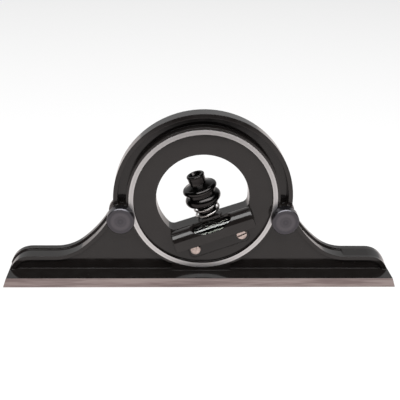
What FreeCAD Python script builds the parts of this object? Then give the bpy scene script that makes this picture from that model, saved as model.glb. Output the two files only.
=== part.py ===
import FreeCAD, Part
import math
import os

from FreeCAD import Vector

# Bevel protractor head, millimetres. X runs along the base, Y away from the level side, Z up.
# The pieces are drawn about the turret's centre, with y = 0 on the face of the turret's bright ring.
# What turns with the turret is drawn square to it, and place_on_turret gives it the turret's angle.

# frame
BASE_LENGTH = 140.0          # ground foot of the base, end to end
BASE_END_SLOPE = 1.3         # each end leans in by this much at the top of the ledge
LEDGE_THICKNESS = 3.6        # height of the ground strip along the base
LEDGE_REACH = 5.7            # front of the ledge ahead of the ring's face
CENTRE_HEIGHT = 30.9         # turret centre above the foot of the base
ARCH_RADIUS = 31.25
RIM_WIDTH = 1.5
RIM_FRONT = 0.7              # face of the rims behind the ring's face
WEB_FRONT = 1.5
WEB_BACK = 4.6
ARCH_BACK = 6.1
SLOPE_FRONT = 1.8            # where the right foot starts to rise to the rear flange
FLANGE_BACK = 8.3            # back of the feet and of the base
FLANGE_STEP = 0.5            # how far the rear flange stands out beyond the feet
FLANGE_RIM = 3.0
STEP_END = 52.0              # where the step fades out on the right foot
FOOT_TOP = 8.8               # flat of the feet above the base's foot
FLAT_START = ARCH_RADIUS + 21.35
FLAT_END = 61.2
SWEEP_RADIUS = 16.0          # concave sweep beside the flat
SWEEP_TURN = 38.0            # degrees
UPPER_SWEEP_RADIUS = 40.0    # gentler sweep up to the arch
TIP_RADIUS = 7.7
CHANNEL_DEPTH = 2.6
CHANNEL_END = -0.4           # height of the channel's ends from the turret centre
NECK_WIDTH = 21.0            # boss where it meets the ledge

# turret
TURRET_ANGLE = 19.5          # tilt of the level at rest, left end down, degrees
RING_RADIUS = ARCH_RADIUS - 5.35
RING_INNER_RADIUS = RING_RADIUS - 1.65
FACE_RECESS = 1.0
RING_THICKNESS = 2.5
JOURNAL_RADIUS = RING_RADIUS - 1.45
BOSS_WALL = 0.81             # painted lip of the frame around the ring
RUNNING_CLEARANCE = 0.04
OPENING_RADIUS = RING_RADIUS - 9.7
OPENING_RISE = 0.7           # centre of the opening above the turret's centre
SEAT_HEIGHT = -7.5           # flat of the opening, from the turret's centre
OPENING_CORNER = 2.5
WALL_DEPTH = 6.7             # straight wall of the opening ends here
FLARE = 1.8                  # bevel behind it
BLADE_PLANE = 8.5            # the blade lies on this plane
BLADE_THICKNESS = 2.4
BLADE_WIDTH = 25.4
BLADE_SHOULDER = -3.5        # the blade's upper edge seats here
COLLAR_RADIUS = 4.6
COLLAR_HEIGHT = 0.4

# level
LEVEL_LENGTH = 29.4
LEVEL_RADIUS = 3.57
LEVEL_AXIS_Y = -0.6
LEVEL_AXIS_Z = -10.8
LEVEL_WALL_DROP = 3.0        # flat front wall below the tube's axis
LEVEL_BORE = 2.6
LEVEL_END_ROUND = 0.4
LEVEL_TRIM = 1.2             # trim of the level in the turret, degrees
PLATE_HALF_WIDTH = 11.2
PLATE_BOTTOM = -20.2
PLATE_TOP = -8.4
PLATE_THICKNESS = 0.5
PLATE_CORNER = 2.0
PLATE_CLEARANCE = 0.05
WINDOW_TILT = 70.0           # the window looks up and forward, degrees from the front
WINDOW_INNER = (5.6, 3.0)
WINDOW_OUTER = (7.8, 4.6)
WINDOW_FLOOR = 0.9
WINDOW_OUTER_HEIGHT = 3.7
SCREW_X = 8.7
SCREW_Z = -17.1
SCREW_HEAD_RADIUS = 1.9
SCREW_HEAD_HEIGHT = 0.85
SCREW_HEAD_ROUND = 0.34
SCREW_SHANK_RADIUS = 1.2
SCREW_LENGTH = 5.0
SCREW_SLOT_WIDTH = 0.55
SCREW_SLOT_DEPTH = 0.45
SCREW_SLOT_TURNS = (62.0, 7.0)
SCREW_CLEARANCE = 0.06
SCREW_TIP_ROOM = 0.5
PLUG_THICKNESS = 1.4
PLUG_CLEARANCE = 0.02
GLASS_RADIUS = 2.08
GLASS_WALL = 0.4
GLASS_END_ROUND = 1.4
GLASS_BORE_ROUND = 0.9
GLASS_LENGTH = 25.4
BEDDING_LENGTH = 5.5
LIQUID_CLEARANCE = 0.01
BUBBLE_LENGTH = 6.4
BUBBLE_WIDTH = 2.7
BUBBLE_DEPTH = 1.15

# blade clamp
CLAMP_Y = 3.7
CLAMP_BOLT_RADIUS = 1.75
CLAMP_BOLT_TOP = 7.8
CLAMP_CLEARANCE = 0.08
NIB_WIDTH = 2.6
NIB_HEIGHT = 2.4
NIB_BITE = 0.7               # how far the nib reaches into the blade's groove
NIB_TRAVEL = 0.9             # room for the nib above and below its rest place
CLAMP_LEAD = 0.7
NUT_TOP = 9.2
NUT_RIM_RADIUS = 3.2
NUT_NECK_RADIUS = 3.0
NUT_NECK = 5.7
NUT_RIM_ROUND = 0.4
NUT_RIM_UNDERCUT = 0.15
NUT_MOUTH_RADIUS = 2.3
NUT_MOUTH_DEPTH = 0.9
BEAD_RADIUS = 6.1
BEAD_HALF = 1.25
BEAD_NOSE = 0.75
UPPER_BEAD = 3.6
LOWER_BEAD = 0.95
BEAD_GROOVE_RADIUS = 5.1
HUB_RADIUS = 3.4
HUB_BOTTOM = -5.6
SHOULDER_RADIUS = 4.6
SHOULDER_BOTTOM = -1.8
SPRING_RADIUS = 4.25
SPRING_WIRE = 0.75
SPRING_TURNS = 2.1
SPRING_GAP = 0.02
SPRING_START = 30.0          # where the coil starts, degrees about the clamp's axis

# turret lock
LOCK_X = ARCH_RADIUS - 2.65
LOCK_Z = -6.3
LOCK_NUT_RADIUS = 4.8
LOCK_NUT_THICKNESS = 3.3
LOCK_NUT_CHAMFER = 0.3
RIGHT_NUT_PROUD = 0.3        # the right nut is the thicker one
LOCK_NUT_GAP = 0.05
LOCK_PAD_RADIUS = 5.0
LOCK_HOLE_WALL = 0.8         # least metal of the frame around each lock bolt
LOCK_BOLT_RADIUS = 2.0
LOCK_HEAD_RADIUS = 4.6
LOCK_HEAD_THICKNESS = 1.6
LOCK_HEAD_FLAT = 3.4         # flat of the head from the bolt's axis
LOCK_BOLT_END = 0.9          # end of the bolt below the face of the nut
LOCK_BORE_END = 0.6          # end of the nut's blind bore below its face
LOCK_CLEARANCE = 0.08
RELIEF_CLEARANCE = 0.5

# ends of the whole head along Y, from the ring's face
HEAD_FRONT = -LEDGE_REACH
HEAD_BACK = BLADE_PLANE + BLADE_THICKNESS
FACE_Y = -(HEAD_FRONT + HEAD_BACK) / 2.0

LEDGE_TOP = LEDGE_THICKNESS - CENTRE_HEIGHT
FOOT_BOTTOM = -CENTRE_HEIGHT
BOSS_RADIUS = RING_RADIUS + RUNNING_CLEARANCE + BOSS_WALL
RELIEF_RADIUS = math.hypot(LOCK_X, LOCK_Z) + LOCK_HEAD_RADIUS + RELIEF_CLEARANCE
FAR = 400.0


def cylinder_y(radius, y0, y1, x=0.0, z=0.0):
    return Part.makeCylinder(radius, y1 - y0, Vector(x, y0, z), Vector(0, 1, 0))


def cylinder_x(radius, x0, x1, y, z):
    return Part.makeCylinder(radius, x1 - x0, Vector(x0, y, z), Vector(1, 0, 0))


def cylinder_z(radius, z0, z1, x, y):
    return Part.makeCylinder(radius, z1 - z0, Vector(x, y, z0), Vector(0, 0, 1))


def block(x0, x1, y0, y1, z0, z1):
    return Part.makeBox(x1 - x0, y1 - y0, z1 - z0, Vector(x0, y0, z0))


def ring_y(outer, inner, y0, y1):
    return cylinder_y(outer, y0, y1).cut(cylinder_y(inner, y0 - 1, y1 + 1))


def arc(a, b, c):
    return Part.Arc(a, b, c).toShape()


def line(a, b):
    return Part.LineSegment(a, b).toShape()


def on_circle(centre, radius, angle):
    turn = math.radians(angle)
    return Vector(centre[0] + radius * math.cos(turn), 0, centre[1] + radius * math.sin(turn))


def angle_of(centre, point):
    return math.degrees(math.atan2(point.z - centre[1], point.x - centre[0]))


def extrude(edges, y0, y1):
    wire = Part.Wire(Part.__sortEdges__(edges))
    solid = Part.Face(wire).extrude(Vector(0, y1 - y0, 0))
    solid.translate(Vector(0, y0, 0))
    return solid


def mirrored(edges):
    return [edge.mirror(Vector(0, 0, 0), Vector(1, 0, 0)) for edge in edges]


def half_outline(grow):
    """Right half of the head's outline, moved out by grow, from the top of the arch to the foot."""
    flat = FOOT_TOP - CENTRE_HEIGHT + grow
    low = (FLAT_START, flat - grow + SWEEP_RADIUS)
    turn = math.radians(SWEEP_TURN)
    reach = UPPER_SWEEP_RADIUS - SWEEP_RADIUS
    high = (low[0] + reach * math.sin(turn), low[1] + reach * math.cos(turn))
    small = SWEEP_RADIUS - grow
    large = UPPER_SWEEP_RADIUS - grow
    arch = ARCH_RADIUS + grow
    gap = math.hypot(*high)
    along = (gap * gap + arch * arch - large * large) / (2 * gap)
    meet_turn = math.atan2(high[1], high[0]) - math.acos(along / arch)
    meet = Vector(arch * math.cos(meet_turn), 0, arch * math.sin(meet_turn))
    join = on_circle(low, small, 270 - SWEEP_TURN)
    start = angle_of(high, meet) % 360
    tip = (FLAT_END, flat - grow - TIP_RADIUS)
    tip_radius = TIP_RADIUS + grow
    drop = LEDGE_TOP - tip[1]
    tip_end = Vector(FLAT_END + math.sqrt(tip_radius ** 2 - drop ** 2), 0, LEDGE_TOP)
    tip_turn = angle_of(tip, tip_end)
    foot = Vector(tip_end.x, 0, FOOT_BOTTOM)
    over = on_circle((0, 0), arch, (90 + math.degrees(meet_turn)) / 2)
    return [
        arc(Vector(0, 0, arch), over, meet),
        arc(meet, on_circle(high, large, (start + 270 - SWEEP_TURN) / 2), join),
        arc(join, on_circle(low, small, 270 - SWEEP_TURN / 2), Vector(FLAT_START, 0, flat)),
        line(Vector(FLAT_START, 0, flat), Vector(FLAT_END, 0, flat)),
        arc(Vector(FLAT_END, 0, flat), on_circle(tip, tip_radius, (90 + tip_turn) / 2), tip_end),
        line(tip_end, foot),
    ]


def head_slab(grow, y0, y1):
    half = half_outline(grow)
    end = half[-1].BoundBox.XMax
    foot = line(Vector(-end, 0, FOOT_BOTTOM), Vector(end, 0, FOOT_BOTTOM))
    return extrude(half + mirrored(half) + [foot], y0, y1)


def above_ledge(y0, y1):
    return block(-FAR, FAR, y0, y1, LEDGE_TOP, FAR)


def base_ledge():
    half = BASE_LENGTH / 2
    top = half - BASE_END_SLOPE
    corners = [(-half, FOOT_BOTTOM), (half, FOOT_BOTTOM), (top, LEDGE_TOP), (-top, LEDGE_TOP)]
    points = [Vector(x, 0, z) for x, z in corners]
    edges = [line(a, b) for a, b in zip(points, points[1:] + points[:1])]
    return extrude(edges, -LEDGE_REACH, FLANGE_BACK)


def foot_slope():
    """Wedge on the right foot that takes its top up to the rear flange, beyond the step."""
    flat = FOOT_TOP - CENTRE_HEIGHT
    corners = [(SLOPE_FRONT, flat), (ARCH_BACK, flat), (ARCH_BACK, flat + FLANGE_STEP)]
    points = [Vector(STEP_END, y, z) for y, z in corners]
    wire = Part.Wire([line(a, b) for a, b in zip(points, points[1:] + points[:1])])
    wedge = Part.Face(wire).extrude(Vector(FLAT_END - STEP_END, 0, 0))
    centre = Vector(FLAT_END, SLOPE_FRONT, flat - TIP_RADIUS)
    depth = ARCH_BACK - SLOPE_FRONT
    cone = Part.makeCone(TIP_RADIUS, TIP_RADIUS + FLANGE_STEP, depth, centre, Vector(0, 1, 0))
    corner = block(FLAT_END, FAR, SLOPE_FRONT, ARCH_BACK, LEDGE_TOP, FAR)
    return wedge.fuse(cone.common(corner))


def web_pockets():
    """Shallow panels between the rims, the boss, the pads and the ledge."""
    panel = head_slab(-RIM_WIDTH, RIM_FRONT - FAR, WEB_FRONT).common(above_ledge(-FAR, FAR))
    arch_zone = cylinder_y(ARCH_RADIUS, -FAR, FAR).common(block(-FAR, FAR, -FAR, FAR, LOCK_Z, FAR))
    keep = cylinder_y(BOSS_RADIUS, -FAR, FAR).fuse(arch_zone)
    for side in (-1, 1):
        keep = keep.fuse(cylinder_y(LOCK_PAD_RADIUS, -FAR, FAR, side * LOCK_X, LOCK_Z))
    keep = keep.fuse(block(-NECK_WIDTH / 2, NECK_WIDTH / 2, -FAR, FAR, -FAR, 0))
    return panel.cut(keep)


def arch_channel():
    """Half-round channel of the arch, with rounded ends above the lock pads."""
    outer = ARCH_RADIUS - RIM_WIDTH
    middle = (outer + BOSS_RADIUS) / 2
    floor = RIM_FRONT + CHANNEL_DEPTH
    channel = ring_y(outer, BOSS_RADIUS, -LEDGE_REACH, floor)
    channel = channel.common(block(-FAR, FAR, -FAR, FAR, CHANNEL_END, FAR))
    for side in (-1, 1):
        end = cylinder_y((outer - BOSS_RADIUS) / 2, -LEDGE_REACH, floor, side * middle, CHANNEL_END)
        channel = channel.fuse(end)
    return channel.removeSplitter()


def back_pockets():
    """Hollow backs of the feet, inside the rear flange."""
    panel = head_slab(FLANGE_STEP - FLANGE_RIM, WEB_BACK, FAR).common(above_ledge(-FAR, FAR))
    panel = panel.cut(cylinder_y(RELIEF_RADIUS + FLANGE_RIM, -FAR, FAR))
    return panel


def frame():
    feet = head_slab(0, RIM_FRONT, ARCH_BACK)
    flange = head_slab(FLANGE_STEP, ARCH_BACK, FLANGE_BACK)
    flange = flange.cut(cylinder_y(RELIEF_RADIUS, 0, FAR))
    body = feet.fuse([flange, base_ledge(), foot_slope()])
    lip = cylinder_y(BOSS_RADIUS, 0, RIM_FRONT + 1)
    neck = block(-NECK_WIDTH / 2, NECK_WIDTH / 2, 0, RIM_FRONT + 1, LEDGE_TOP - 1, 0)
    raised = [lip, neck]
    for side in (-1, 1):
        pad = cylinder_y(LOCK_PAD_RADIUS, 0, RIM_FRONT + 1, side * LOCK_X, LOCK_Z)
        raised.append(pad.common(head_slab(0, -FAR, FAR)))
        lug_radius = LOCK_BOLT_RADIUS + LOCK_CLEARANCE + LOCK_HOLE_WALL
        raised.append(cylinder_y(lug_radius, RIM_FRONT, ARCH_BACK, side * LOCK_X, LOCK_Z))
    body = body.fuse(raised)
    body = body.cut([web_pockets(), arch_channel(), back_pockets()])
    bore = cylinder_y(JOURNAL_RADIUS + RUNNING_CLEARANCE, -FAR, FAR)
    seat = cylinder_y(RING_RADIUS + RUNNING_CLEARANCE, -FAR, RING_THICKNESS)
    body = body.cut([bore, seat])
    for side in (-1, 1):
        hole = cylinder_y(LOCK_BOLT_RADIUS + LOCK_CLEARANCE, -FAR, FAR, side * LOCK_X, LOCK_Z)
        body = body.cut(hole)
    body = body.removeSplitter()
    return body


def opening(y, grow=0.0):
    """Outline of the D-shaped opening at depth y, moved out by grow."""
    radius = OPENING_RADIUS + grow
    flat = SEAT_HEIGHT - grow
    round_ = OPENING_CORNER
    drop = OPENING_RISE - flat
    inner = radius - round_
    corner_x = math.sqrt(inner ** 2 - (drop - round_) ** 2)
    corner = (corner_x, flat + round_)
    centre = (0.0, OPENING_RISE)
    side_turn = math.degrees(math.atan2(corner[1] - OPENING_RISE, corner_x))
    top = Vector(0, 0, OPENING_RISE + radius)
    side = on_circle(centre, radius, side_turn)
    low = Vector(corner_x, 0, flat)
    right = [
        arc(top, on_circle(centre, radius, (90 + side_turn) / 2), side),
        arc(side, on_circle(corner, round_, (side_turn - 90) / 2), low),
    ]
    chord = line(Vector(-corner_x, 0, flat), low)
    wire = Part.Wire(Part.__sortEdges__(right + mirrored(right) + [chord]))
    wire.translate(Vector(0, y, 0))
    return wire


def opening_cut():
    """Straight wall at the front, then a flare that widens towards the blade."""
    straight = Part.Face(opening(-FAR)).extrude(Vector(0, FAR + WALL_DEPTH, 0))
    flare_end = opening(WALL_DEPTH + FLARE, FLARE)
    flare = Part.makeLoft([opening(WALL_DEPTH), flare_end], True, True)
    rear = Part.Face(flare_end).extrude(Vector(0, FAR, 0))
    return [straight, flare, rear]


def rounded_plate(y0, y1, grow=0.0):
    x = PLATE_HALF_WIDTH + grow
    low = PLATE_BOTTOM - grow
    high = PLATE_TOP + grow
    plate = block(-x, x, y0, y1, low, high)
    corners = [e for e in plate.Edges if e.BoundBox.YLength > 0.9 * (y1 - y0) and e.CenterOfMass.z < 0]
    return plate.makeFillet(PLATE_CORNER + grow, [e for e in corners if e.CenterOfMass.z < low + 1])


def turret():
    body = cylinder_y(RING_RADIUS, 0, RING_THICKNESS - RUNNING_CLEARANCE)
    body = body.fuse(cylinder_y(JOURNAL_RADIUS, 1, BLADE_PLANE + BLADE_THICKNESS))
    body = body.cut(cylinder_y(RING_INNER_RADIUS, -1, FACE_RECESS))
    blade_way = block(-FAR, FAR, BLADE_PLANE, FAR, -FAR, BLADE_SHOULDER)
    body = body.cut(opening_cut() + [blade_way])
    collar = cylinder_z(COLLAR_RADIUS, SEAT_HEIGHT - 1, SEAT_HEIGHT + COLLAR_HEIGHT, 0, CLAMP_Y)
    collar = collar.common(block(-FAR, FAR, FACE_RECESS, WALL_DEPTH, -FAR, FAR))
    body = body.fuse(collar)
    nib_z = BLADE_SHOULDER - BLADE_WIDTH / 2
    nib_low = nib_z - NIB_HEIGHT / 2 - NIB_TRAVEL
    bore = cylinder_z(CLAMP_BOLT_RADIUS + CLAMP_CLEARANCE, nib_low, 0, 0, CLAMP_Y)
    half = NIB_WIDTH / 2 + CLAMP_CLEARANCE
    keyway = block(-half, half, CLAMP_Y, FAR, nib_low, 0)
    pocket_depth = FACE_RECESS + PLATE_THICKNESS
    pocket = rounded_plate(-FAR, pocket_depth, PLATE_CLEARANCE)
    pocket = pocket.common(block(-FAR, FAR, 0, FAR, -FAR, FAR))
    cuts = [bore, keyway, trimmed(pocket)]
    screw_end = FACE_RECESS + SCREW_LENGTH + SCREW_TIP_ROOM
    for side in (-1, 1):
        hole = cylinder_y(SCREW_SHANK_RADIUS + SCREW_CLEARANCE, 0, screw_end, side * SCREW_X, SCREW_Z)
        cuts.append(trimmed(hole))
    cuts += [trimmed(end_trough(side)) for side in (-1, 1)]
    return body.cut(cuts).removeSplitter()


def end_trough(side):
    """Groove under each end of the level's tube, for its bedding and plug."""
    outer = LEVEL_LENGTH / 2 + PLUG_CLEARANCE
    inner = LEVEL_LENGTH / 2 - PLUG_THICKNESS - BEDDING_LENGTH - PLUG_CLEARANCE
    x0, x1 = (inner, outer) if side > 0 else (-outer, -inner)
    return cylinder_x(LEVEL_BORE, x0, x1, LEVEL_AXIS_Y, LEVEL_AXIS_Z)


def trimmed(shape):
    """Turn a piece of the level by its trim, about the middle of the tube."""
    turned = shape.copy()
    turned.rotate(Vector(0, 0, LEVEL_AXIS_Z), Vector(0, 1, 0), -LEVEL_TRIM)
    return turned


def level_window():
    """Dished window over the vial, wider at its mouth."""
    tilt = math.radians(WINDOW_TILT)
    out = Vector(0, -math.cos(tilt), math.sin(tilt))
    across = Vector(1, 0, 0)
    centre = Vector(0, LEVEL_AXIS_Y, LEVEL_AXIS_Z)
    wires = []
    for height, size in ((WINDOW_FLOOR, WINDOW_INNER), (WINDOW_OUTER_HEIGHT, WINDOW_OUTER)):
        mouth = centre + out * height
        long_end = mouth + across * size[0]
        short_end = mouth + out.cross(across) * size[1]
        wires.append(Part.Wire([Part.Ellipse(long_end, short_end, mouth).toShape()]))
    return Part.makeLoft(wires, True, True)


def end_edges(shape, half):
    return [e for e in shape.Edges if abs(abs(e.CenterOfMass.x) - half) < 0.01]


def round_rod(radius, half, corner):
    """Rod along X about the level's axis, with rounded ends."""
    rod = cylinder_x(radius, -half, half, LEVEL_AXIS_Y, LEVEL_AXIS_Z)
    return rod.makeFillet(corner, end_edges(rod, half))


def level_case():
    half = LEVEL_LENGTH / 2
    front = LEVEL_AXIS_Y - LEVEL_RADIUS
    low = LEVEL_AXIS_Z - LEVEL_WALL_DROP
    tube = cylinder_x(LEVEL_RADIUS, -half, half, LEVEL_AXIS_Y, LEVEL_AXIS_Z)
    wall = block(-half, half, front, FACE_RECESS, low, LEVEL_AXIS_Z)
    case = tube.fuse(wall).common(block(-FAR, FAR, -FAR, FACE_RECESS, -FAR, FAR))
    case = case.removeSplitter()
    ends = [e for e in end_edges(case, half) if e.CenterOfMass.y < FACE_RECESS - 0.1]
    case = case.makeFillet(LEVEL_END_ROUND, ends)
    case = case.fuse(rounded_plate(FACE_RECESS, FACE_RECESS + PLATE_THICKNESS))
    bore = cylinder_x(LEVEL_BORE, -half - 1, half + 1, LEVEL_AXIS_Y, LEVEL_AXIS_Z)
    cuts = [bore, level_window()]
    for side in (-1, 1):
        hole_radius = SCREW_SHANK_RADIUS + SCREW_CLEARANCE
        cuts.append(cylinder_y(hole_radius, -FAR, FAR, side * SCREW_X, SCREW_Z))
    return case.cut(cuts).removeSplitter()


def level_screw(side):
    x = side * SCREW_X
    head = cylinder_y(SCREW_HEAD_RADIUS, FACE_RECESS - SCREW_HEAD_HEIGHT, FACE_RECESS, x, SCREW_Z)
    crown = [e for e in head.Edges if e.CenterOfMass.y < FACE_RECESS - SCREW_HEAD_HEIGHT + 0.01]
    head = head.makeFillet(SCREW_HEAD_ROUND, crown)
    shank = cylinder_y(SCREW_SHANK_RADIUS, FACE_RECESS, FACE_RECESS + SCREW_LENGTH, x, SCREW_Z)
    half = SCREW_SLOT_WIDTH / 2
    floor = FACE_RECESS - SCREW_HEAD_HEIGHT + SCREW_SLOT_DEPTH
    slot = block(-FAR, FAR, -FAR, floor, -half, half)
    slot.rotate(Vector(0, 0, 0), Vector(0, 1, 0), -SCREW_SLOT_TURNS[0 if side < 0 else 1])
    slot.translate(Vector(x, 0, SCREW_Z))
    return head.fuse(shank).cut(slot).removeSplitter()


def level_plug(side):
    half = LEVEL_LENGTH / 2
    inner = half - PLUG_THICKNESS
    x0, x1 = (inner, half) if side > 0 else (-half, -inner)
    return cylinder_x(LEVEL_BORE - PLUG_CLEARANCE, x0, x1, LEVEL_AXIS_Y, LEVEL_AXIS_Z)


def vial_bedding(side):
    end = LEVEL_LENGTH / 2 - PLUG_THICKNESS
    x0, x1 = (end - BEDDING_LENGTH, end) if side > 0 else (-end, -end + BEDDING_LENGTH)
    sleeve = cylinder_x(LEVEL_BORE - PLUG_CLEARANCE, x0, x1, LEVEL_AXIS_Y, LEVEL_AXIS_Z)
    reach = GLASS_LENGTH / 2 + PLUG_CLEARANCE
    room = cylinder_x(GLASS_RADIUS + PLUG_CLEARANCE, -reach, reach, LEVEL_AXIS_Y, LEVEL_AXIS_Z)
    return sleeve.cut(room)


def vial_glass():
    half = GLASS_LENGTH / 2
    tube = round_rod(GLASS_RADIUS, half, GLASS_END_ROUND)
    return tube.cut(round_rod(GLASS_RADIUS - GLASS_WALL, half - GLASS_WALL, GLASS_BORE_ROUND))


def bubble():
    """Air space at the top of the vial."""
    radius = GLASS_RADIUS - GLASS_WALL
    ball = Part.makeSphere(1.0)
    stretch = FreeCAD.Matrix()
    stretch.scale(Vector(BUBBLE_LENGTH / 2, BUBBLE_WIDTH / 2, BUBBLE_DEPTH))
    ball = ball.transformGeometry(stretch)
    ball.translate(Vector(0, LEVEL_AXIS_Y, LEVEL_AXIS_Z + radius))
    return ball


def vial_liquid():
    gap = GLASS_WALL + LIQUID_CLEARANCE
    liquid = round_rod(GLASS_RADIUS - gap, GLASS_LENGTH / 2 - gap, GLASS_BORE_ROUND)
    return liquid.cut(bubble())


def clamp_bolt():
    nib_z = BLADE_SHOULDER - BLADE_WIDTH / 2
    low = nib_z - NIB_HEIGHT / 2
    shank = cylinder_z(CLAMP_BOLT_RADIUS, low, CLAMP_BOLT_TOP, 0, CLAMP_Y)
    half = NIB_WIDTH / 2
    nib = block(-half, half, CLAMP_Y, BLADE_PLANE + NIB_BITE, low, low + NIB_HEIGHT)
    return shank.fuse(nib).removeSplitter()


def clamp_nut():
    """Turned round the Z axis, from the mouth down to the hub inside the spring."""
    def at(r, z):
        return Vector(r, 0, z)
    bore = CLAMP_BOLT_RADIUS + CLAMP_CLEARANCE
    core = BEAD_GROOVE_RADIUS
    mouth_floor = at(bore, NUT_TOP - NUT_MOUTH_DEPTH)
    mouth = at(NUT_MOUTH_RADIUS, NUT_TOP)
    rim_top = at(NUT_RIM_RADIUS - NUT_RIM_ROUND, NUT_TOP)
    rim_side = at(NUT_RIM_RADIUS, NUT_TOP - NUT_RIM_ROUND)
    rim_low = at(NUT_RIM_RADIUS - NUT_RIM_UNDERCUT, NUT_TOP - 2 * NUT_RIM_ROUND)
    neck = at(NUT_NECK_RADIUS, NUT_NECK)
    upper_start = at(core, UPPER_BEAD + BEAD_HALF)
    upper_end = at(core, UPPER_BEAD - BEAD_NOSE)
    lower_start = at(core, LOWER_BEAD + BEAD_NOSE)
    shoulder = at(SHOULDER_RADIUS, SHOULDER_BOTTOM)
    hub_top = at(HUB_RADIUS, SHOULDER_BOTTOM)
    hub_low = at(HUB_RADIUS, HUB_BOTTOM)
    bore_low = at(bore, HUB_BOTTOM)
    edges = [
        line(mouth_floor, mouth),
        line(mouth, rim_top),
        arc(rim_top, rim_side, rim_low),
        line(rim_low, neck),
        line(neck, upper_start),
        arc(upper_start, at(BEAD_RADIUS, UPPER_BEAD), upper_end),
        line(upper_end, lower_start),
        arc(lower_start, at(BEAD_RADIUS, LOWER_BEAD), shoulder),
        line(shoulder, hub_top),
        line(hub_top, hub_low),
        line(hub_low, bore_low),
        line(bore_low, mouth_floor),
    ]
    nut = Part.Face(Part.Wire(edges)).revolve(Vector(0, 0, 0), Vector(0, 0, 1), 360)
    nut.translate(Vector(0, CLAMP_Y, 0))
    return nut


def clamp_spring():
    seat = SEAT_HEIGHT + COLLAR_HEIGHT
    low = seat + SPRING_WIRE / 2 + SPRING_GAP
    height = SHOULDER_BOTTOM - SPRING_WIRE / 2 - SPRING_GAP - low
    helix = Part.makeHelix(height / SPRING_TURNS, height, SPRING_RADIUS)
    round_wire = Part.Circle(Vector(SPRING_RADIUS, 0, 0), Vector(0, 1, 0), SPRING_WIRE / 2)
    section = Part.Wire(round_wire.toShape())
    coil = Part.Wire(helix.Edges).makePipeShell([section], True, True)
    coil.rotate(Vector(0, 0, 0), Vector(0, 0, 1), SPRING_START)
    coil.translate(Vector(0, CLAMP_Y, low))
    return coil


def lock_nut(side):
    proud = RIGHT_NUT_PROUD if side > 0 else 0.0
    front = -LOCK_NUT_THICKNESS - proud
    nut = cylinder_y(LOCK_NUT_RADIUS, front, -LOCK_NUT_GAP, side * LOCK_X, LOCK_Z)
    rim = [e for e in nut.Edges if abs(e.CenterOfMass.y - front) < 0.01]
    nut = nut.makeChamfer(LOCK_NUT_CHAMFER, rim)
    bore = cylinder_y(LOCK_BOLT_RADIUS + LOCK_CLEARANCE, front + LOCK_BORE_END, 1, side * LOCK_X, LOCK_Z)
    return nut.cut(bore)


def lock_bolt(side):
    proud = RIGHT_NUT_PROUD if side > 0 else 0.0
    end = -LOCK_NUT_THICKNESS - proud + LOCK_BOLT_END
    shank = cylinder_y(LOCK_BOLT_RADIUS, end, ARCH_BACK, side * LOCK_X, LOCK_Z)
    head = cylinder_y(LOCK_HEAD_RADIUS, ARCH_BACK, ARCH_BACK + LOCK_HEAD_THICKNESS, 0, 0)
    head = head.common(block(-LOCK_HEAD_FLAT, FAR, 0, FAR, -FAR, FAR))
    head.rotate(Vector(0, 0, 0), Vector(0, 1, 0), 0 if side > 0 else 180)
    head.translate(Vector(side * LOCK_X, 0, LOCK_Z))
    return shank.fuse(head).removeSplitter()


def place(shape):
    placed = shape.copy()
    placed.translate(Vector(0, FACE_Y, CENTRE_HEIGHT))
    return placed


def place_on_turret(shape):
    turned = shape.copy()
    turned.rotate(Vector(0, 0, 0), Vector(0, 1, 0), -TURRET_ANGLE)
    return place(turned)


def build():
    nodes = {
        "frame": place(frame()),
        "turret": place_on_turret(turret()),
        "level_case": place_on_turret(trimmed(level_case())),
        "vial_glass": place_on_turret(trimmed(vial_glass())),
        "vial_liquid": place_on_turret(trimmed(vial_liquid())),
        "clamp_bolt": place_on_turret(clamp_bolt()),
        "clamp_nut": place_on_turret(clamp_nut()),
        "clamp_spring": place_on_turret(clamp_spring()),
    }
    for name, side in (("left", -1), ("right", 1)):
        nodes["level_screw_" + name] = place_on_turret(trimmed(level_screw(side)))
        nodes["level_plug_" + name] = place_on_turret(trimmed(level_plug(side)))
        nodes["vial_bedding_" + name] = place_on_turret(trimmed(vial_bedding(side)))
        nodes["lock_nut_" + name] = place(lock_nut(side))
        nodes["lock_bolt_" + name] = place(lock_bolt(side))
    return nodes


def export(nodes):
    os.makedirs("parts", exist_ok=True)
    for name, shape in nodes.items():
        print(name, "valid" if shape.isValid() else "INVALID", len(shape.Solids), round(shape.Volume, 2))
        shape.exportStep("parts/" + name + ".step")


export(build())
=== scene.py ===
import bpy
import math
from mathutils import Matrix, Vector

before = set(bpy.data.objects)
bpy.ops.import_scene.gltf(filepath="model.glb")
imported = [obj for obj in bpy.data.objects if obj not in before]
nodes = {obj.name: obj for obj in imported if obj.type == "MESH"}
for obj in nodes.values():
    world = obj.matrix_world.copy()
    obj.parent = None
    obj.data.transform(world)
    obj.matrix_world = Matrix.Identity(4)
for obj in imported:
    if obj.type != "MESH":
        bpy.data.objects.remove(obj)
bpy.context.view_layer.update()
mm = 0.001
ringCentre = Vector((0, -2.6, 30.9)) * mm    # middle of the turret's bright ring
print("frame loaded:", len(nodes), "nodes")


# ---------- view and light ----------

view = {"azimuth": 3.4, "elevation": 24.18, "roll": 1.7, "distance": 238.7, "lens": 62.1,
        "across": 3.61 * 0.346, "down": 1.54 * 0.346}


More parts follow.
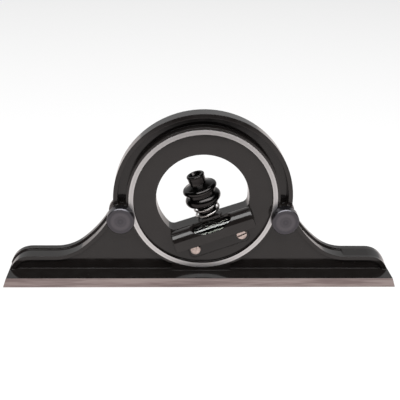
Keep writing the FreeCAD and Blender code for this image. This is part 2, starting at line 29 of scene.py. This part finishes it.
def makeCamera():
    turn, rise, roll = (math.radians(view[k]) for k in ("azimuth", "elevation", "roll"))
    back = Vector((-math.sin(turn) * math.cos(rise), -math.cos(turn) * math.cos(rise), math.sin(rise)))
    flat = Vector((math.cos(turn), -math.sin(turn), 0))
    up = flat.cross(-back)
    right = flat * math.cos(roll) + up * math.sin(roll)
    up = up * math.cos(roll) - flat * math.sin(roll)
    place = ringCentre + (back * view["distance"] - right * view["across"] + up * view["down"]) * mm
    lens = bpy.data.cameras.new("camera")
    lens.lens = view["lens"]
    lens.sensor_width = 36
    lens.clip_start = 0.01
    lens.clip_end = 20
    camera = bpy.data.objects.new("camera", lens)
    bpy.context.scene.collection.objects.link(camera)
    spin = Matrix((right, up, back)).transposed()
    camera.matrix_world = Matrix.Translation(place) @ spin.to_4x4()
    bpy.context.scene.camera = camera


def softbox(name, place, aim, size, power):
    lamp = bpy.data.lights.new(name, "AREA")
    lamp.shape = "RECTANGLE"
    lamp.size, lamp.size_y = size
    lamp.energy = power
    box = bpy.data.objects.new(name, lamp)
    bpy.context.scene.collection.objects.link(box)
    box.location = place
    box.rotation_euler = (Vector(aim) - Vector(place)).to_track_quat("-Z", "Y").to_euler()


# ---------- small helpers for node trees ----------

def newNode(tree, kind, **inputs):
    made = tree.nodes.new("ShaderNode" + kind)
    for key, value in inputs.items():
        made.inputs[key.replace("_", " ")].default_value = value
    return made


def mathNode(tree, operation, a, b=None, clamp=False):
    made = tree.nodes.new("ShaderNodeMath")
    made.operation = operation
    made.use_clamp = clamp
    for slot, value in enumerate((a, b)):
        if value is None:
            continue
        if hasattr(value, "is_output"):
            tree.links.new(value, made.inputs[slot])
        else:
            made.inputs[slot].default_value = value
    return made.outputs[0]


def feed(tree, value, socket):
    if hasattr(value, "is_output"):
        tree.links.new(value, socket)
    else:
        socket.default_value = value


def mixColour(tree, amount, a, b):
    made = tree.nodes.new("ShaderNodeMix")
    made.data_type = "RGBA"
    feed(tree, amount, made.inputs["Factor"])
    feed(tree, a, made.inputs[6])
    feed(tree, b, made.inputs[7])
    return made.outputs[2]


def mixValue(tree, amount, a, b):
    made = tree.nodes.new("ShaderNodeMix")
    made.data_type = "FLOAT"
    feed(tree, amount, made.inputs[0])
    feed(tree, a, made.inputs[2])
    feed(tree, b, made.inputs[3])
    return made.outputs[0]


def ramp(tree, value, low, high, lowOut=0.0, highOut=1.0):
    made = tree.nodes.new("ShaderNodeMapRange")
    made.interpolation_type = "SMOOTHSTEP"
    feed(tree, value, made.inputs["Value"])
    made.inputs["From Min"].default_value = low
    made.inputs["From Max"].default_value = high
    made.inputs["To Min"].default_value = lowOut
    made.inputs["To Max"].default_value = highOut
    return made.outputs["Result"]


def newGroup(name, ins, outs):
    group = bpy.data.node_groups.new(name, "ShaderNodeTree")
    for label, kind, value in ins:
        socket = group.interface.new_socket(name=label, in_out="INPUT", socket_type=kind)
        if value is not None:
            socket.default_value = value
    for label, kind in outs:
        group.interface.new_socket(name=label, in_out="OUTPUT", socket_type=kind)
    return group, group.nodes.new("NodeGroupInput").outputs, group.nodes.new("NodeGroupOutput").inputs


def useGroup(tree, group, **values):
    made = tree.nodes.new("ShaderNodeGroup")
    made.node_tree = group
    for key, value in values.items():
        feed(tree, value, made.inputs[key])
    return made.outputs


print("helpers ready")


# ---------- shared effects ----------

def makePeel():
    group, put, out = newGroup("enamelPeel",
                               [("Coordinates", "NodeSocketVector", None), ("Size", "NodeSocketFloat", 1.0)],
                               [("Height", "NodeSocketFloat"), ("Patch", "NodeSocketFloat")])
    big = newNode(group, "TexNoise", Scale=260.0, Detail=1.0)
    small = newNode(group, "TexNoise", Scale=1500.0, Detail=2.0)
    size = group.nodes.new("ShaderNodeVectorMath")
    size.operation = "SCALE"
    group.links.new(put["Coordinates"], size.inputs[0])
    group.links.new(put["Size"], size.inputs["Scale"])
    group.links.new(size.outputs[0], big.inputs["Vector"])
    group.links.new(size.outputs[0], small.inputs["Vector"])
    fine = mathNode(group, "MULTIPLY", small.outputs[0], 0.18)
    group.links.new(mathNode(group, "ADD", big.outputs[0], fine), out["Height"])
    group.links.new(ramp(group, big.outputs[0], 0.35, 0.7), out["Patch"])
    return group


def makeEdgeMask():
    group, put, out = newGroup("edgeMask", [("Width", "NodeSocketFloat", 0.0002)], [("Mask", "NodeSocketFloat")])
    bevel = group.nodes.new("ShaderNodeBevel")
    bevel.samples = 4
    group.links.new(put["Width"], bevel.inputs["Radius"])
    plain = group.nodes.new("ShaderNodeNewGeometry")
    dot = group.nodes.new("ShaderNodeVectorMath")
    dot.operation = "DOT_PRODUCT"
    group.links.new(bevel.outputs[0], dot.inputs[0])
    group.links.new(plain.outputs["Normal"], dot.inputs[1])
    group.links.new(ramp(group, dot.outputs["Value"], 0.75, 0.99, 1.0, 0.0), out["Mask"])
    return group


def makeTurning():
    # concentric tool marks about the Y axis of the coordinates it is given
    group, put, out = newGroup("turningMarks",
                               [("Coordinates", "NodeSocketVector", None), ("Pitch", "NodeSocketFloat", 0.0002)],
                               [("Height", "NodeSocketFloat"), ("Shade", "NodeSocketFloat")])
    parts = group.nodes.new("ShaderNodeSeparateXYZ")
    group.links.new(put["Coordinates"], parts.inputs[0])
    square = mathNode(group, "ADD", mathNode(group, "MULTIPLY", parts.outputs[0], parts.outputs[0]),
                      mathNode(group, "MULTIPLY", parts.outputs[2], parts.outputs[2]))
    radius = mathNode(group, "SQRT", square)
    turns = mathNode(group, "DIVIDE", radius, put["Pitch"])
    line = group.nodes.new("ShaderNodeCombineXYZ")
    group.links.new(turns, line.inputs[0])
    tool = newNode(group, "TexNoise", Scale=1.0, Detail=3.0)
    group.links.new(line.outputs[0], tool.inputs["Vector"])
    group.links.new(tool.outputs[0], out["Height"])
    slow = newNode(group, "TexNoise", Scale=0.13, Detail=1.0)
    group.links.new(line.outputs[0], slow.inputs["Vector"])
    group.links.new(ramp(group, slow.outputs[0], 0.3, 0.7), out["Shade"])
    return group


def makeGrinding():
    # long slanted scratches of a grinding wheel, in the XZ plane of the coordinates
    group, put, out = newGroup("grindingMarks",
                               [("Coordinates", "NodeSocketVector", None), ("Scale", "NodeSocketFloat", 1.0)],
                               [("Height", "NodeSocketFloat"), ("Shade", "NodeSocketFloat")])
    turn = group.nodes.new("ShaderNodeMapping")
    turn.inputs["Rotation"].default_value = (0, math.radians(-24), 0)
    turn.inputs["Scale"].default_value = (150, 900, 2600)
    group.links.new(put["Coordinates"], turn.inputs["Vector"])
    size = group.nodes.new("ShaderNodeVectorMath")
    size.operation = "SCALE"
    group.links.new(turn.outputs[0], size.inputs[0])
    group.links.new(put["Scale"], size.inputs["Scale"])
    streak = newNode(group, "TexNoise", Scale=1.0, Detail=3.0)
    group.links.new(size.outputs[0], streak.inputs["Vector"])
    broad = newNode(group, "TexNoise", Scale=0.22, Detail=1.0)
    group.links.new(size.outputs[0], broad.inputs["Vector"])
    group.links.new(streak.outputs[0], out["Height"])
    both = mathNode(group, "ADD", mathNode(group, "MULTIPLY", streak.outputs[0], 0.5),
                    mathNode(group, "MULTIPLY", broad.outputs[0], 0.5))
    group.links.new(ramp(group, both, 0.36, 0.64), out["Shade"])
    return group


def makeDust():
    group, put, out = newGroup("dustSpecks", [("Coordinates", "NodeSocketVector", None)],
                               [("Mask", "NodeSocketFloat")])
    cells = newNode(group, "TexVoronoi", Scale=420.0)
    group.links.new(put["Coordinates"], cells.inputs["Vector"])
    field = newNode(group, "TexNoise", Scale=60.0, Detail=1.0)
    group.links.new(put["Coordinates"], field.inputs["Vector"])
    speck = ramp(group, cells.outputs["Distance"], 0.05, 0.09, 1.0, 0.0)
    group.links.new(mathNode(group, "MULTIPLY", speck, ramp(group, field.outputs[0], 0.55, 0.7)), out["Mask"])
    return group


peelGroup, edgeGroup, turningGroup = makePeel(), makeEdgeMask(), makeTurning()
grindingGroup, dustGroup = makeGrinding(), makeDust()
print("shared effects built")


# ---------- finishes ----------

def startMaterial(name):
    material = bpy.data.materials.new(name)
    material.use_nodes = True
    tree = material.node_tree
    tree.nodes.clear()
    out = tree.nodes.new("ShaderNodeOutputMaterial")
    shader = tree.nodes.new("ShaderNodeBsdfPrincipled")
    tree.links.new(shader.outputs[0], out.inputs[0])
    coords = tree.nodes.new("ShaderNodeTexCoord").outputs["Object"]
    return material, tree, shader, coords


def centred(tree, coords, place):
    made = tree.nodes.new("ShaderNodeMapping")
    made.vector_type = "TEXTURE"
    made.inputs["Location"].default_value = place
    tree.links.new(coords, made.inputs["Vector"])
    return made.outputs[0]


def softNormal(tree, radius):
    bevel = tree.nodes.new("ShaderNodeBevel")
    bevel.samples = 6
    bevel.inputs["Radius"].default_value = radius
    return bevel.outputs[0]


def bump(tree, height, distance, strength, normal=None):
    made = tree.nodes.new("ShaderNodeBump")
    made.inputs["Distance"].default_value = distance
    made.inputs["Strength"].default_value = strength
    feed(tree, height, made.inputs["Height"])
    if normal is not None:
        tree.links.new(normal, made.inputs["Normal"])
    return made.outputs[0]


softEdge = 0.0001    # how far the small metal pieces' edges look rounded
# the lighter brown edge colour is faint wear plus a painted edge highlight
enamel = {"colour": (0.0105, 0.0088, 0.0082, 1), "patch": (0.0125, 0.0108, 0.0102, 1),
          "wornAndHighlightEdge": (0.035, 0.024, 0.02, 1), "speck": (0.12, 0.11, 0.1, 1), "gloss": 0.085, "dull": 0.15,
          "edge": 0.00028, "wearAndHighlightWidth": 0.00016, "peel": 0.00002}
ground = {"light": (0.36, 0.31, 0.3, 1), "dark": (0.24, 0.195, 0.19, 1), "gloss": 0.3, "dull": 0.42,
          "top": 3.56 * mm}
ringMetal = {"light": (0.72, 0.72, 0.72, 1), "dark": (0.62, 0.62, 0.625, 1), "gloss": 0.34,
             "dull": 0.44, "inner": 24.3 * mm, "back": 0.6 * mm}


def enamelLook(tree, coords, peelSize=1.0):
    peel = useGroup(tree, peelGroup, Coordinates=coords, Size=peelSize)
    edge = useGroup(tree, edgeGroup, Width=enamel["wearAndHighlightWidth"])["Mask"]
    speck = useGroup(tree, dustGroup, Coordinates=coords)["Mask"]
    uneven = mathNode(tree, "ADD", 0.25, mathNode(tree, "MULTIPLY", peel["Patch"], 0.5))
    # edges painted a lighter brown: faint wear plus a painted edge highlight
    edgeWearAndHighlight = mathNode(tree, "MULTIPLY", edge, uneven)
    colour = mixColour(tree, peel["Patch"], enamel["colour"], enamel["patch"])
    colour = mixColour(tree, edgeWearAndHighlight, colour, enamel["wornAndHighlightEdge"])
    colour = mixColour(tree, mathNode(tree, "MULTIPLY", speck, 0.25), colour, enamel["speck"])
    rough = mixValue(tree, peel["Patch"], enamel["gloss"], enamel["dull"])
    normal = bump(tree, peel["Height"], enamel["peel"], 0.35, softNormal(tree, enamel["edge"]))
    return colour, rough, normal


def frameFinish():
    material, tree, shader, coords = startMaterial("frameEnamelAndGroundStrip")
    colour, rough, normal = enamelLook(tree, coords)
    parts = tree.nodes.new("ShaderNodeSeparateXYZ")
    tree.links.new(coords, parts.inputs[0])
    strip = mathNode(tree, "LESS_THAN", parts.outputs[2], ground["top"])
    marks = useGroup(tree, grindingGroup, Coordinates=coords, Scale=1.0)
    metal = mixColour(tree, marks["Shade"], ground["dark"], ground["light"])
    metalRough = mixValue(tree, marks["Shade"], ground["dull"], ground["gloss"])
    metalNormal = bump(tree, marks["Height"], 0.00003, 0.5, softNormal(tree, 0.00012))
    feed(tree, mixColour(tree, strip, colour, metal), shader.inputs["Base Color"])
    feed(tree, mixValue(tree, strip, rough, metalRough), shader.inputs["Roughness"])
    feed(tree, strip, shader.inputs["Metallic"])
    pick = tree.nodes.new("ShaderNodeMix")
    pick.data_type = "VECTOR"
    feed(tree, strip, pick.inputs[0])
    feed(tree, normal, pick.inputs[4])
    feed(tree, metalNormal, pick.inputs[5])
    tree.links.new(pick.outputs[1], shader.inputs["Normal"])
    return material


def turretFinish():
    material, tree, shader, coords = startMaterial("turretEnamelAndBrightRing")
    colour, rough, normal = enamelLook(tree, coords)
    own = centred(tree, coords, ringCentre)
    parts = tree.nodes.new("ShaderNodeSeparateXYZ")
    tree.links.new(own, parts.inputs[0])
    square = mathNode(tree, "ADD", mathNode(tree, "MULTIPLY", parts.outputs[0], parts.outputs[0]),
                      mathNode(tree, "MULTIPLY", parts.outputs[2], parts.outputs[2]))
    outside = mathNode(tree, "GREATER_THAN", mathNode(tree, "SQRT", square), ringMetal["inner"])
    front = mathNode(tree, "LESS_THAN", parts.outputs[1], ringMetal["back"])
    ring = mathNode(tree, "MULTIPLY", outside, front)
    marks = useGroup(tree, turningGroup, Coordinates=own, Pitch=0.00007)
    metal = mixColour(tree, marks["Shade"], ringMetal["dark"], ringMetal["light"])
    metalRough = mixValue(tree, marks["Shade"], ringMetal["dull"], ringMetal["gloss"])
    metalNormal = bump(tree, marks["Height"], 0.00002, 0.5, softNormal(tree, 0.00008))
    feed(tree, mixColour(tree, ring, colour, metal), shader.inputs["Base Color"])
    feed(tree, mixValue(tree, ring, rough, metalRough), shader.inputs["Roughness"])
    feed(tree, ring, shader.inputs["Metallic"])
    pick = tree.nodes.new("ShaderNodeMix")
    pick.data_type = "VECTOR"
    feed(tree, ring, pick.inputs[0])
    feed(tree, normal, pick.inputs[4])
    feed(tree, metalNormal, pick.inputs[5])
    tree.links.new(pick.outputs[1], shader.inputs["Normal"])
    return material


def plainEnamel(name, peelSize=1.0):
    material, tree, shader, coords = startMaterial(name)
    colour, rough, normal = enamelLook(tree, coords, peelSize)
    feed(tree, colour, shader.inputs["Base Color"])
    feed(tree, rough, shader.inputs["Roughness"])
    feed(tree, normal, shader.inputs["Normal"])
    return material


def turnedMetal(name, light, dark, gloss, dull, pitch, place=(0, 0, 0)):
    # a lathe-turned metal whose marks run round the Y axis through place
    material, tree, shader, coords = startMaterial(name)
    own = centred(tree, coords, place)
    marks = useGroup(tree, turningGroup, Coordinates=own, Pitch=pitch)
    rim = useGroup(tree, edgeGroup, Width=softEdge)["Mask"]
    colour = mixColour(tree, marks["Shade"], dark, light)
    # edges painted lighter: faint wear plus a painted edge highlight
    wearAndHighlightEdgeColour = tuple(min(1, c * 1.35) for c in light[:3]) + (1,)
    colour = mixColour(tree, mathNode(tree, "MULTIPLY", rim, 0.5), colour, wearAndHighlightEdgeColour)
    feed(tree, colour, shader.inputs["Base Color"])
    feed(tree, mixValue(tree, marks["Shade"], dull, gloss), shader.inputs["Roughness"])
    shader.inputs["Metallic"].default_value = 1
    feed(tree, bump(tree, marks["Height"], 0.00001, 0.5, softNormal(tree, softEdge)), shader.inputs["Normal"])
    return material


def drawnMetal(name, light, dark, gloss, dull, scale=1.0):
    # plain metal with fine grain and a few rubbed patches
    material, tree, shader, coords = startMaterial(name)
    grain = useGroup(tree, peelGroup, Coordinates=coords, Size=scale)
    rim = useGroup(tree, edgeGroup, Width=softEdge)["Mask"]
    colour = mixColour(tree, grain["Patch"], dark, light)
    # edges painted lighter: faint wear plus a painted edge highlight
    wearAndHighlightEdgeColour = tuple(min(1, c * 1.3) for c in light[:3]) + (1,)
    colour = mixColour(tree, mathNode(tree, "MULTIPLY", rim, 0.4), colour, wearAndHighlightEdgeColour)
    feed(tree, colour, shader.inputs["Base Color"])
    feed(tree, mixValue(tree, grain["Patch"], dull, gloss), shader.inputs["Roughness"])
    shader.inputs["Metallic"].default_value = 1
    feed(tree, bump(tree, grain["Height"], 0.00001, 0.3, softNormal(tree, softEdge)), shader.inputs["Normal"])
    return material


def clearFinish(name, colour, ior, haze):
    material, tree, shader, coords = startMaterial(name)
    grain = useGroup(tree, peelGroup, Coordinates=coords, Size=0.6)
    deeper = tuple(c * 0.97 for c in colour[:3]) + (1,)
    feed(tree, mixColour(tree, grain["Patch"], colour, deeper), shader.inputs["Base Color"])
    feed(tree, mixValue(tree, grain["Patch"], haze, haze * 1.6), shader.inputs["Roughness"])
    shader.inputs["Transmission Weight"].default_value = 1
    shader.inputs["IOR"].default_value = ior
    return material


def plasterFinish():
    material, tree, shader, coords = startMaterial("beddingPlaster")
    grain = useGroup(tree, peelGroup, Coordinates=coords, Size=4.0)
    colour = mixColour(tree, grain["Patch"], (0.62, 0.59, 0.52, 1), (0.74, 0.72, 0.66, 1))
    feed(tree, colour, shader.inputs["Base Color"])
    feed(tree, mixValue(tree, grain["Patch"], 0.75, 0.9), shader.inputs["Roughness"])
    feed(tree, bump(tree, grain["Height"], 0.00005, 0.6), shader.inputs["Normal"])
    return material


def dress(node, material):
    held = nodes[node].data.materials
    held.clear()
    held.append(material)


finishes = {
    "frame": frameFinish(),
    "turret": turretFinish(),
    "level": plainEnamel("levelEnamel", 1.4),
    "nut": turnedMetal("clampNutBlacking", (0.05, 0.047, 0.046, 1), (0.028, 0.026, 0.026, 1), 0.16,
                       0.24, 0.0002),
    "bolt": drawnMetal("boltBlacking", (0.07, 0.065, 0.062, 1), (0.04, 0.037, 0.036, 1), 0.25, 0.4, 2.0),
    "spring": drawnMetal("springWire", (0.62, 0.6, 0.58, 1), (0.45, 0.43, 0.42, 1), 0.16, 0.28, 3.0),
    "lockBolt": turnedMetal("lockBoltSteel", (0.3, 0.28, 0.28, 1), (0.2, 0.19, 0.19, 1), 0.3, 0.42,
                            0.00012),
    "screw": drawnMetal("levelScrewSteel", (0.62, 0.53, 0.49, 1), (0.48, 0.4, 0.37, 1), 0.2, 0.34, 2.5),
    "plug": turnedMetal("levelPlugSteel", (0.06, 0.055, 0.054, 1), (0.035, 0.032, 0.031, 1), 0.2,
                        0.32, 0.00012),
    "glass": clearFinish("vialGlass", (0.98, 1.0, 0.985, 1), 1.48, 0.01),
    "spirit": clearFinish("vialSpirit", (0.94, 0.95, 0.9, 1), 1.36, 0.01),
    "plaster": plasterFinish(),
}
dress("frame", finishes["frame"])
dress("turret", finishes["turret"])
dress("level_case", finishes["level"])
dress("clamp_bolt", finishes["bolt"])
dress("clamp_nut", finishes["nut"])
dress("clamp_spring", finishes["spring"])
dress("vial_glass", finishes["glass"])
dress("vial_liquid", finishes["spirit"])
lockNut = {"light": (0.125, 0.12, 0.132, 1), "dark": (0.085, 0.083, 0.093, 1), "gloss": 0.34, "dull": 0.42,
           "pitch": 0.00022, "x": 28.6, "z": 24.6}
for side, way, label in (("left", -1, "lockNutBlueing"), ("right", 1, "lockNutBlueingRight")):
    middle = Vector((way * lockNut["x"], 0, lockNut["z"])) * mm
    blued = turnedMetal(label, lockNut["light"], lockNut["dark"], lockNut["gloss"],
                        lockNut["dull"], lockNut["pitch"], middle)
    dress("lock_nut_" + side, blued)
    dress("level_screw_" + side, finishes["screw"])
    dress("level_plug_" + side, finishes["plug"])
    dress("vial_bedding_" + side, finishes["plaster"])
    dress("lock_bolt_" + side, finishes["lockBolt"])
print("finishes on the CAD nodes")


# ---------- floor, background and lamps ----------

studio = {"floor": 0.95, "softbox": 5.5, "behind": 0.5}


def makeFloor():
    bpy.ops.mesh.primitive_plane_add(size=6, location=(0, 0, -0.0002))
    floor = bpy.context.object
    floor.name = "floor"
    material = bpy.data.materials.new("palePaper")
    material.use_nodes = True
    tree = material.node_tree
    tree.nodes.clear()
    out = tree.nodes.new("ShaderNodeOutputMaterial")
    coords = tree.nodes.new("ShaderNodeTexCoord").outputs["Object"]
    parts = tree.nodes.new("ShaderNodeSeparateXYZ")
    tree.links.new(coords, parts.inputs[0])
    paper = newNode(tree, "BsdfDiffuse", Color=(0.3, 0.3, 0.3, 1))
    seen = newNode(tree, "Emission", Color=(1, 1, 1, 1), Strength=0.72)
    both = tree.nodes.new("ShaderNodeAddShader")
    tree.links.new(paper.outputs[0], both.inputs[0])
    tree.links.new(seen.outputs[0], both.inputs[1])
    mirrored = newNode(tree, "Emission", Color=(1.0, 0.93, 0.91, 1))
    feed(tree, ramp(tree, parts.outputs[1], -0.19, -0.15, 0.05, studio["floor"]), mirrored.inputs["Strength"])
    path = tree.nodes.new("ShaderNodeLightPath")
    pick = tree.nodes.new("ShaderNodeMixShader")
    tree.links.new(path.outputs["Is Camera Ray"], pick.inputs[0])
    tree.links.new(mirrored.outputs[0], pick.inputs[1])
    tree.links.new(both.outputs[0], pick.inputs[2])
    tree.links.new(pick.outputs[0], out.inputs[0])
    floor.data.materials.append(material)


def makeWorld():
    # pale all round for the camera; in reflections pale behind the head and dark in front of it
    world = bpy.data.worlds.new("studio")
    bpy.context.scene.world = world
    world.use_nodes = True
    tree = world.node_tree
    tree.nodes.clear()
    out = tree.nodes.new("ShaderNodeOutputWorld")
    look = tree.nodes.new("ShaderNodeTexCoord").outputs["Generated"]
    parts = tree.nodes.new("ShaderNodeSeparateXYZ")
    tree.links.new(look, parts.inputs[0])
    behind = ramp(tree, parts.outputs[1], 0.0, 0.25)
    low = ramp(tree, parts.outputs[2], 0.62, 0.8, 1.0, 0.0)
    amount = mathNode(tree, "MULTIPLY", mathNode(tree, "MULTIPLY", behind, low), studio["behind"])
    amount = mathNode(tree, "ADD", amount, 0.012)
    room = newNode(tree, "Background", Color=(1, 1, 1, 1))
    feed(tree, amount, room.inputs["Strength"])
    wall = newNode(tree, "Background", Color=(1, 1, 1, 1), Strength=1.0)
    path = tree.nodes.new("ShaderNodeLightPath")
    pick = tree.nodes.new("ShaderNodeMixShader")
    tree.links.new(path.outputs["Is Camera Ray"], pick.inputs[0])
    tree.links.new(room.outputs[0], pick.inputs[1])
    tree.links.new(wall.outputs[0], pick.inputs[2])
    tree.links.new(pick.outputs[0], out.inputs[0])


makeFloor()
makeWorld()
boxSize = (1.2, 0.62)
boxPower = studio["softbox"] * math.pi * boxSize[0] * boxSize[1]
softbox("frontSoftbox", (0, -0.42, 0.78), (0, 0, 0.03), boxSize, boxPower)
makeCamera()
bpy.context.scene.view_settings.view_transform = "Standard"
print("studio ready")
